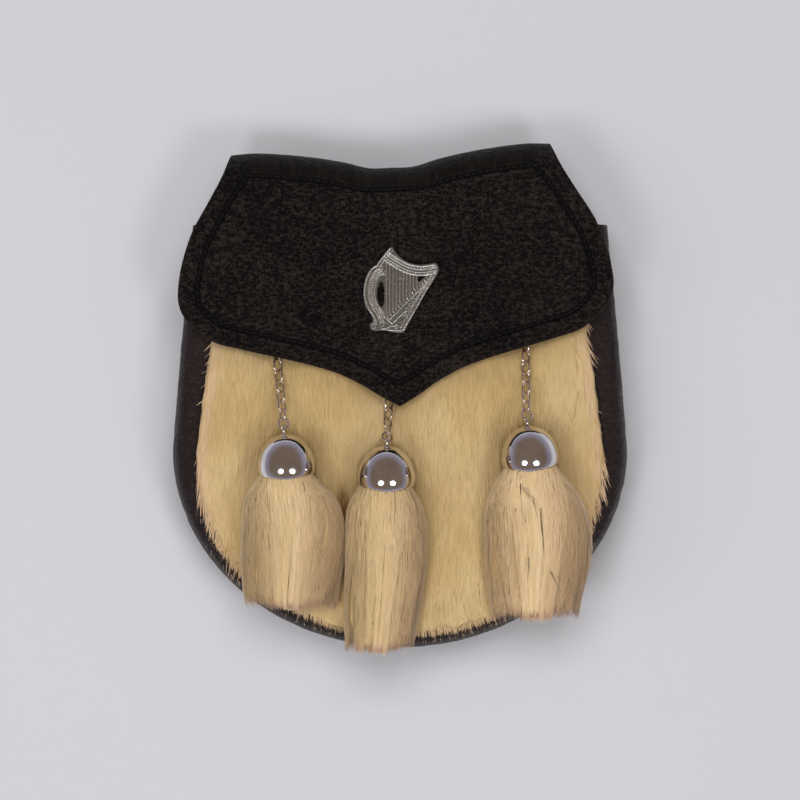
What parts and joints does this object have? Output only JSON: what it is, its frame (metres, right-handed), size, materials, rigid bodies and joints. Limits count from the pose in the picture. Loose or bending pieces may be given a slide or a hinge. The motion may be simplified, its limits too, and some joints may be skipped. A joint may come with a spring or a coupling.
{
  "type": "sporran pouch",
  "caption": "half-round leather pouch with a pointed flap, a fur front and three fur tassels in metal bell caps on short chains",
  "frame": {"origin": "On the back panel's flat outer face, in the middle of the pouch's widest level.", "axes": "The pouch lies on its back: +Z is out of its front, +Y towards its mouth and belt loops, +X to the right as seen from the front."},
  "size_m": [0.2, 0.2246, 0.0585],
  "materials": {
    "black_leather": "pebble-grained black leather with a soft sheen",
    "brown_leather": "smooth brown-black leather, semi-matt",
    "cream_fur": "cream fur, long straight pile",
    "nickel": "nickel-plated wire, polished",
    "chrome": "mirror-polished plate",
    "cast_silver": "cast, satin, bright on the raised edges"
  },
  "bodies": {
    "root": {"back_panel": "brown_leather", "gusset": "brown_leather", "rim_roll": "brown_leather", "front_panel": "brown_leather", "belt_loop_left": "brown_leather", "belt_loop_right": "brown_leather", "flap": "black_leather", "flap_stud": "nickel", "harp_badge": "cast_silver", "fur_front": "cream_fur", "tassel_fur_left": "cream_fur", "tassel_fur_middle": "cream_fur", "tassel_fur_right": "cream_fur", "dome_left": "chrome", "dome_middle": "chrome", "dome_right": "chrome", "chain_staple_left": "nickel", "chain_staple_middle": "nickel", "chain_staple_right": "nickel", "chain_left_01": "nickel", "chain_left_02": "nickel", "chain_left_03": "nickel", "chain_left_04": "nickel", "chain_left_05": "nickel", "chain_left_06": "nickel", "chain_left_07": "nickel", "chain_left_08": "nickel", "chain_left_09": "nickel", "chain_middle_01": "nickel", "chain_middle_02": "nickel", "chain_middle_03": "nickel", "chain_middle_04": "nickel", "chain_middle_05": "nickel", "chain_middle_06": "nickel", "chain_middle_07": "nickel", "chain_right_01": "nickel", "chain_right_02": "nickel", "chain_right_03": "nickel", "chain_right_04": "nickel", "chain_right_05": "nickel", "chain_right_06": "nickel", "chain_right_07": "nickel", "chain_right_08": "nickel", "chain_right_09": "nickel"}
  },
  "joints": []
}
